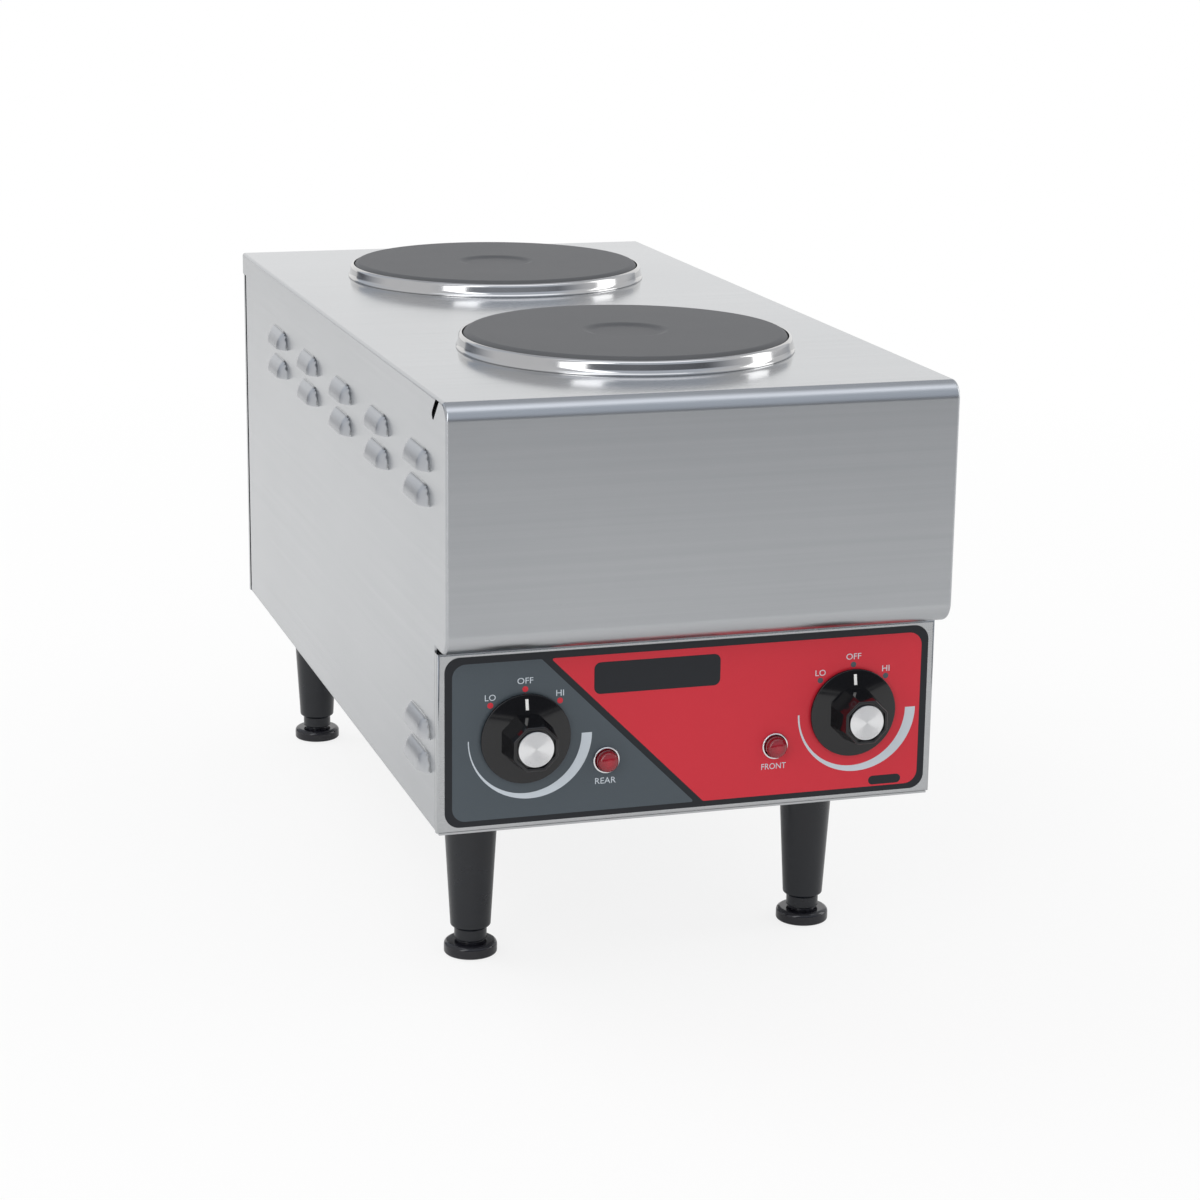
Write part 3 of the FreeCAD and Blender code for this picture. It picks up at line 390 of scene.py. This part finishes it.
def cast_coating(name, centre):
    """Matt heat-cured coating: fine cast grain over turned rings, a little paler where it is worn."""
    coating, wire = new_finish(name)
    grain = wire.noise((1500, 1500, 1500), 3, 0.6)
    worn = wire.noise((16, 16, 16), 3, 0.6)
    turning = wire.rings("Z", centre, 1.6 * mm, 0.6)
    surface = wire.bump(turning, 0.10, 0.06 * mm)
    surface = wire.bump(grain, 0.35, 0.08 * mm, surface)
    return set_finish(coating, {
        "Base Color": wire.blend(worn * 0.6 + grain * 0.4, (0.052, 0.054, 0.058), (0.086, 0.088, 0.093)),
        "Roughness": 0.52 + (grain - 0.5) * 0.16 + (worn - 0.5) * 0.10,
        "Specular IOR Level": 0.4,
        "Normal": surface,
    })


burner_spots = {}
for name in ("front", "rear"):
    low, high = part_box(f"{name}_burner_plate")
    burner_spots[name] = (0, (low.y + high.y) / 2 / mm, top_z)
plate_profile = [(0, 8.9), (21.5, 8.9, 1.5), (25.4, 10.5, 1.5), (99.1, 10.5, 4.4), (99.1, 2, 0.3), (92.5, 2),
                 (92.5, -10, 0.6), (85.9, -10), (85.9, -5), (28, -5), (28, -10), (4.05, -10), (4.05, 2),
                 (0, 2)]
for name, spot in burner_spots.items():
    coating = cast_coating(f"{name}_plate_coating", Vector(spot) * mm)
    turned(f"{name}_plate", plate_profile, spot, coating, "chassis", f"{name}_burner_plate")

# Burner rings
# Drawn stainless trim rings, polished bright. Each stands on the hood round its opening, and its
# rolled lip closes on the edge of the plate.


def polished(name, colour, rough, centre, axis, pitch):
    """Bright metal with the faint rings that polishing on a lathe leaves."""
    bright, wire = new_finish(name)
    lines = wire.rings(axis, centre, pitch, 1.0)
    smear = wire.noise((60, 60, 60), 3, 0.6)
    return set_finish(bright, {
        "Base Color": wire.blend(smear, [c * 0.95 for c in colour], colour),
        "Metallic": 1.0,
        "Roughness": rough + (smear - 0.5) * 0.06,
        "Normal": wire.bump(lines, 0.05, 0.02 * mm),
    })


ring_profile = [(92.8, 0), (103.2, 0, 0.3), (103.2, 0.9, 0.3), (102.1, 2.4, 1.0), (101.5, 7.5, 0.9),
                (100.2, 8.6, 0.6), (99.4, 8.6, 0.2), (99.4, 2), (92.8, 2)]
for name, spot in burner_spots.items():
    bright = polished(f"{name}_ring_bright", (0.56, 0.555, 0.55), 0.12, Vector(spot) * mm, "Z", 0.7 * mm)
    turned(f"{name}_ring", ring_profile, spot, bright, "chassis", f"{name}_burner_ring",
           closed=True)

# Knobs
# Black phenolic mouldings: a shallow coned skirt with a white pointer, an eight-sided tapered
# grip, and a bore that pushes on the flat of the switch shaft.
to_front = Matrix.Rotation(math.pi / 2, 3, "X")
panel_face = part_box("control_panel")[0].y / mm
knob_spots = {"rear": (-knob_x, panel_face, knob_z), "front": (knob_x, panel_face, knob_z)}
skirt_radius, skirt_edge = 26.7, 3.2
hub_radius, hub_height = 14.6, 5.6
grip_sides = 8
grip_low, grip_length = 4.2, 20.2
grip_foot, grip_head = 15.4, 13.0
cap_well = 1.7


def moulded(name, colour, rough, grain):
    """Moulded plastic: near-even colour, faint flow marks and a fine skin."""
    plastic, wire = new_finish(name)
    skin = wire.noise((900, 900, 900), 3, 0.6)
    flow = wire.noise((40, 40, 90), 3, 0.6)
    return set_finish(plastic, {
        "Base Color": wire.blend(flow, [c * 0.8 for c in colour], [c * 1.25 for c in colour]),
        "Roughness": rough + (skin - 0.5) * grain + (flow - 0.5) * grain,
        "Normal": wire.bump(skin, grain, 0.04 * mm),
    })


knob_black = moulded("knob_black", (0.004, 0.004, 0.005), 0.08, 0.04)
pointer_white = printed("pointer_white", (0.80, 0.80, 0.79), 0.40, 0.02)
skirt_profile = [(0, 5.4), (6.5, 5.4), (6.5, 1.4), (skirt_radius, 1.4, 0.4), (skirt_radius, skirt_edge, 0.5),
                 (hub_radius, hub_height), (0, hub_height)]
for name, spot in knob_spots.items():
    body = f"{name}_control"
    turned(f"{name}_knob_skirt", skirt_profile, spot, knob_black, body, f"{name}_knob",
           facing=to_front)

    grip = bmesh.new()
    to_corner = mm / math.cos(math.pi / grip_sides)
    bmesh.ops.create_cone(grip, cap_ends=True, segments=grip_sides, radius1=grip_foot * to_corner,
                          radius2=grip_head * to_corner, depth=grip_length * mm)
    bmesh.ops.rotate(grip, verts=grip.verts, matrix=Matrix.Rotation(math.pi / grip_sides, 3, "Z"))
    bmesh.ops.translate(grip, verts=grip.verts, vec=(0, 0, (grip_low + grip_length / 2) * mm))
    face = max(grip.faces, key=lambda f: f.calc_center_median().z)
    bmesh.ops.inset_region(grip, faces=[face], thickness=2.0 * mm, depth=0)
    pulled(grip, [face], (0, 0, -cap_well * mm))
    bmesh.ops.delete(grip, geom=[face], context="FACES")
    ridges = [edge for edge in grip.edges
              if edge.calc_face_angle(0) > 0.5 and max(v.co.z for v in edge.verts) > 24 * mm]
    bmesh.ops.bevel(grip, geom=ridges, affect="EDGES", offset=0.7 * mm, offset_type="OFFSET", segments=4,
                    profile=0.5, material=-1)
    bmesh.ops.recalc_face_normals(grip, faces=grip.faces)
    placed(grip, spot, to_front)
    joined(f"{name}_knob_grip", grip, knob_black, body, 30)

    pointer = bmesh.new()
    bmesh.ops.create_cube(pointer, size=1)
    bmesh.ops.scale(pointer, verts=pointer.verts, vec=(1.8 * mm, 6.4 * mm, 0.3 * mm))
    bmesh.ops.bevel(pointer, geom=pointer.edges, affect="EDGES", offset=0.08 * mm, offset_type="OFFSET",
                    segments=2, profile=0.5, material=-1)
    fall = math.atan2(hub_height - skirt_edge, skirt_radius - hub_radius)
    bmesh.ops.rotate(pointer, verts=pointer.verts, matrix=Matrix.Rotation(-fall, 3, "X"))
    bmesh.ops.translate(pointer, verts=pointer.verts, vec=(0, 20.8 * mm, 4.38 * mm))
    placed(pointer, spot, to_front)
    joined(f"{name}_knob_pointer", pointer, pointer_white, body, 30)

# Knob caps
# Spun aluminium discs, pressed into the top of each grip. The cutting tool's fine rings spread
# the light into two bright wedges.


def spun(name, centre):
    """Turned aluminium: close cut rings over a clean, pale metal."""
    aluminium, wire = new_finish(name)
    lines = wire.rings("Y", centre, 0.33 * mm)
    tone = wire.noise((300, 300, 300), 2)
    return set_finish(aluminium, {
        "Base Color": wire.blend(tone, (0.74, 0.75, 0.76), (0.82, 0.82, 0.83)),
        "Metallic": 1.0,
        "Roughness": 0.20 + (tone - 0.5) * 0.08,
        "Normal": wire.bump(lines, 0.6, 0.05 * mm),
    })


cap_profile = [(0, 22.9), (10.5, 22.9), (10.5, 24.4, 0.3), (0, 24.5)]
for name, spot in knob_spots.items():
    cap_metal = spun(f"{name}_cap_spun", Vector(spot) * mm)
    turned(f"{name}_cap", cap_profile, spot, cap_metal, f"{name}_control",
           f"{name}_knob_cap", 96, to_front)

# Pilot lamps
# A bright bezel clipped on the overlay and a domed red lens over the neon lamp, on a black body
# that passes through the panel.


def red_lens(name, centre):
    """Clear red moulding with a wet gloss, its red painted brighter at the centre and darker towards the rim
    as painted shade.
    """
    lens, wire = new_finish(name)
    rim_painted_shade = wire.math("MINIMUM", wire.distance((1, 0, 1), centre) * 150.0, 1.0)
    swirl = wire.noise((220, 220, 220), 2)
    return set_finish(lens, {
        # Painted shade: the red darkens from the lens centre towards its rim.
        "Base Color": wire.blend(rim_painted_shade * 0.8 + swirl * 0.2, (0.36, 0.012, 0.026), (0.16, 0.004, 0.010)),
        "Roughness": 0.08 + (swirl - 0.5) * 0.04,
        "Coat Weight": 0.2,
        "Coat Roughness": 0.04,
    })


bezel_profile = [(6.7, 0.4), (8.0, 0.4, 0.2), (8.0, 2.6, 0.6), (6.7, 2.6, 0.5)]
lens_profile = [(0, 0.4), (6.4, 0.4), (6.4, 6.6, 1.6), (3.4, 8.6, 1.4), (0, 9.0)]
for name, side in (("rear", -1), ("front", 1)):
    spot = (side * lamp_x, panel_face, lamp_z)
    bright = polished(f"{name}_bezel_bright", (0.80, 0.80, 0.81), 0.12, Vector(spot) * mm, "Y", 0.3 * mm)
    turned(f"{name}_bezel", bezel_profile, spot, bright, "chassis", f"{name}_pilot_bezel",
           96, to_front, True)
    glass = red_lens(f"{name}_lens_red", Vector(spot) * mm)
    turned(f"{name}_lens", lens_profile, spot, glass, "chassis", f"{name}_pilot_lens",
           96, to_front)

# Legs
# Tapered hollow mouldings in black nylon, drawn against the pan by a steel stud, with a necked
# lower end that takes the foot's stem.
leg_black = moulded("leg_black", (0.006, 0.0075, 0.011), 0.26, 0.06)
leg_profile = [(0, 83.7), (5.05, 83.7), (5.05, 109), (17.6, 109, 0.4), (12.4, 18.2, 0.7), (10, 16.6, 0.5),
               (10, 9.6, 0.3), (5.05, 9.6), (5.05, 45.2), (0, 45.2)]
leg_spots = {}
for corner in ("front_left", "front_right", "rear_left", "rear_right"):
    low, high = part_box(f"{corner}_leg")
    middle = (low + high) / 2 / mm
    leg_spots[corner] = (middle.x, middle.y, 0)
for corner, spot in leg_spots.items():
    turned(f"{corner}_tapered_leg", leg_profile, spot, leg_black, "chassis", f"{corner}_leg", 96)

# Feet
# Turned levelling feet in gloss black: a flanged pad with a threaded stem that screws up into the
# leg, so that each corner can be set level.
foot_black = moulded("foot_black", (0.010, 0.010, 0.014), 0.10, 0.04)
foot_profile = [(0, 0), (16.4, 0, 1.4), (16.4, 8, 2.8), (8.4, 8, 0.4), (8.4, 9.5, 0.2), (5, 9.5),
                (5, 42, 0.6), (0, 42)]
for corner, spot in leg_spots.items():
    turned(f"{corner}_levelling_foot", foot_profile, spot, foot_black, f"{corner}_levelling",
           f"{corner}_foot", 96)

# Inner parts
# What hangs inside the body: plated studs, nuts, screws, clamp bars and covers, ceramic terminals,
# the phenolic switches and lamp bodies, and the nylon cord inlet at the back.


def plated(name):
    """Zinc plate: grey spangle with a dull, uneven shine."""
    zinc, wire = new_finish(name)
    sockets = {"Vector": wire.place((260, 260, 260)), "Scale": 1.0}
    spangle = wire.node("ShaderNodeTexVoronoi", {}, sockets, "Distance")
    haze = wire.noise((90, 90, 90), 3, 0.6)
    return set_finish(zinc, {
        "Base Color": wire.blend(spangle * 0.5 + haze * 0.5, (0.46, 0.47, 0.48), (0.66, 0.66, 0.65)),
        "Metallic": 1.0,
        "Roughness": 0.38 + (haze - 0.5) * 0.2,
        "Normal": wire.bump(spangle, 0.08, 0.05 * mm),
    })


def fired(name):
    """Unglazed ceramic: chalky off-white with fine dark specks."""
    ceramic, wire = new_finish(name)
    chalk = wire.noise((700, 700, 700), 4, 0.7)
    specks = wire.noise((1900, 1900, 1900), 1) > 0.70
    return set_finish(ceramic, {
        "Base Color": wire.blend(chalk * 0.6 + specks * 0.4, (0.80, 0.78, 0.71), (0.58, 0.55, 0.48)),
        "Roughness": 0.68 + (chalk - 0.5) * 0.2,
        "Normal": wire.bump(chalk, 0.25, 0.08 * mm),
    })


zinc_plate = plated("zinc_plate")
white_ceramic = fired("white_ceramic")
phenolic = moulded("phenolic", (0.030, 0.024, 0.020), 0.42, 0.16)
inlet_nylon = moulded("inlet_nylon", (0.014, 0.014, 0.015), 0.40, 0.14)
inner = {
    zinc_plate: ["leg_studs", "leg_nuts", "lip_screws", "base_screws"],
    white_ceramic: ["terminal_block"],
    phenolic: [],
    inlet_nylon: ["cord_inlet", "inlet_nut"],
}
plated_parts = ("burner_cover", "burner_stud", "burner_nut", "clamp_bar", "switch_shaft", "switch_nut")
for name in ("front", "rear"):
    inner[zinc_plate] += [f"{name}_{part}" for part in plated_parts]
    inner[white_ceramic].append(f"{name}_burner_terminal")
    inner[phenolic] += [f"{name}_switch", f"{name}_pilot_body"]
for finish, parts in inner.items():
    for part in parts:
        nodes[part].data.materials.clear()
        nodes[part].data.materials.append(finish)

# Studio
# A white floor and backdrop, a large soft light high at the left and behind, and a tall soft strip
# at each side. A grey wrap, a ceiling and a dark floor card show only in the steel and the gloss.


def flat(*corners):
    """A flat sheet through its corners, in metres."""
    shape = bmesh.new()
    shape.faces.new([shape.verts.new(corner) for corner in corners])
    return shape


def staged(name, shape, finish):
    """A sheet of the studio, which isn't part of the object."""
    mesh = bpy.data.meshes.new(name)
    shape.to_mesh(mesh)
    shape.free()
    mesh.materials.append(finish)
    made = bpy.data.objects.new(name, mesh)
    bpy.context.scene.collection.objects.link(made)
    return made


def ray(wire, kind):
    """One on a ray of that kind, and nought on others."""
    return wire.node("ShaderNodeLightPath", {}, {}, f"Is {kind} Ray")


def glow(wire, colour):
    return wire.node("ShaderNodeEmission", {}, {"Color": colour, "Strength": 1.0})


def set_surface(material, shader):
    shader.plug(material.node_tree.nodes["Material Output"], {"Surface": shader})


floor_white, wire = new_finish("floor_white")
far = wire.distance((1, 1, 0)).ramp(0.5, 1.75)
tone = wire.noise((2, 2, 2), 2)
paper = wire.blend(tone, (0.79, 0.79, 0.79), (0.81, 0.81, 0.81))
matt = wire.node("ShaderNodeBsdfDiffuse", {}, {"Color": paper})
shown = (ray(wire, "Camera") + ray(wire, "Transmission")) * (0.82 + far * 0.18) + ray(wire, "Glossy") * 0.25
share = wire.math("MINIMUM", shown, 1.0)
white_glow = glow(wire, (1, 1, 1, 1))
set_surface(floor_white, wire.node("ShaderNodeMixShader", {}, {0: share, 1: matt, 2: white_glow}))
floor_z = -0.0005
staged("floor", flat((-8, -6, floor_z), (8, -6, floor_z), (8, 10, floor_z), (-8, 10, floor_z)), floor_white)


def card(name, shape, finish):
    """A sheet that only shows in reflections."""
    made = staged(name, shape, finish)
    made.visible_camera = False
    made.visible_diffuse = False
    made.visible_shadow = False


front_grey, wire = new_finish("front_grey")
aside = abs(wire.along("X")).ramp(1.7, 2.7)
dim = (1.0 - wire.along("Z").ramp(0.5, 0.95)) * (1.0 - aside)
grey = wire.blend(aside, (0.62, 0.67, 0.75), (0.76, 0.77, 0.79))
set_surface(front_grey, glow(wire, wire.blend(dim, grey, (0.12, 0.125, 0.14))))
wrap = bmesh.new()
first = [wrap.verts.new((-1.20, 2.64, level)) for level in (0.05, 4.0)]
first.append(wrap.edges.new(first))
bmesh.ops.spin(wrap, geom=first, axis=(0, 0, 1), cent=(0, 0, 0), dvec=(0, 0, 0),
               angle=math.radians(285), steps=40)
card("front_wrap", wrap, front_grey)

ceiling_grey, wire = new_finish("ceiling_grey")
depth = wire.along("Y")
lit = depth.ramp(-3.0, -2.2) * (1.0 - depth.ramp(-1.2, 0.4))
set_surface(ceiling_grey, glow(wire, wire.blend(lit, (0.54, 0.56, 0.60), (1.65, 1.70, 1.80))))
card("ceiling", flat((-5.0, -3.2, 4.0), (4.0, -3.2, 4.0), (4.0, 7.0, 4.0), (-5.0, 7.0, 4.0)), ceiling_grey)

floor_dark, wire = new_finish("floor_dark")
tone = wire.noise((2, 2, 2), 2)
set_surface(floor_dark, glow(wire, wire.blend(tone, (0.1504, 0.1551, 0.1692), (0.1696, 0.1749, 0.1908))))
card_z = 0.002
card("front_floor",
     flat((-2.2, -2.9, card_z), (2.2, -2.9, card_z), (2.2, -2.25, card_z), (-2.2, -2.25, card_z)), floor_dark)

world = bpy.data.worlds.new("studio_white")
bpy.context.scene.world = world
world.use_nodes = True
wire = Wire(world.node_tree)
seen = wire.math("MINIMUM", ray(wire, "Camera") + ray(wire, "Glossy") + ray(wire, "Transmission"), 1.0)
wire.plug(world.node_tree.nodes["Background"], {"Color": (1, 1, 1, 1), "Strength": 0.92 + seen * 0.08})


def softbox(name, place, aim, width, height, power, mirrored=True, lean=0):
    """A soft lamp aimed at a point, leaning by some degrees, in watts."""
    lamp = bpy.data.lights.new(name, "AREA")
    lamp.shape = "RECTANGLE"
    lamp.size = width
    lamp.size_y = height
    lamp.energy = power
    made = bpy.data.objects.new(name, lamp)
    made.location = place
    facing = (Vector(aim) - Vector(place)).to_track_quat("-Z", "Y")
    made.rotation_euler = (facing @ Quaternion((0, 0, 1), math.radians(lean))).to_euler()
    made.visible_glossy = mirrored
    bpy.context.scene.collection.objects.link(made)


softbox("key", (-1.6, 1.2, 2.4), (0, 0, 0.3), 1.8, 1.8, 20, mirrored=False)
softbox("left_strip", (-1.6, -1.75, 1.2), (0, 0, 0.35), 0.75, 2.4, 12, lean=-25)
softbox("right_strip", (2.3, -0.25, 1.0), (0, 0, 0.35), 0.9, 1.6, 9)
bpy.context.scene.view_settings.view_transform = "Standard"

# Camera
# The photograph's own viewpoint: from the front and a little left, slightly above, long lens.
# It is turned and raised about the object, then rolled by less than a degree.
turn, rise, roll = math.radians(-17.31), math.radians(14.68), math.radians(0.71)
back = Vector((math.sin(turn) * math.cos(rise), -math.cos(turn) * math.cos(rise), math.sin(rise)))
right = (-back).cross(Vector((0, 0, 1))).normalized()
up = right.cross(-back)
rolled = math.cos(roll) * right + math.sin(roll) * up
upward = math.cos(roll) * up - math.sin(roll) * right
lens = bpy.data.cameras.new("photo_view")
lens.sensor_width = 36
lens.lens = 88.02
camera = bpy.data.objects.new("photo_view", lens)
stand = Matrix.Translation((-0.53854, -1.83423, 0.66726))
camera.matrix_world = stand @ Matrix((rolled, upward, back)).transposed().to_4x4()
bpy.context.scene.collection.objects.link(camera)
bpy.context.scene.camera = camera
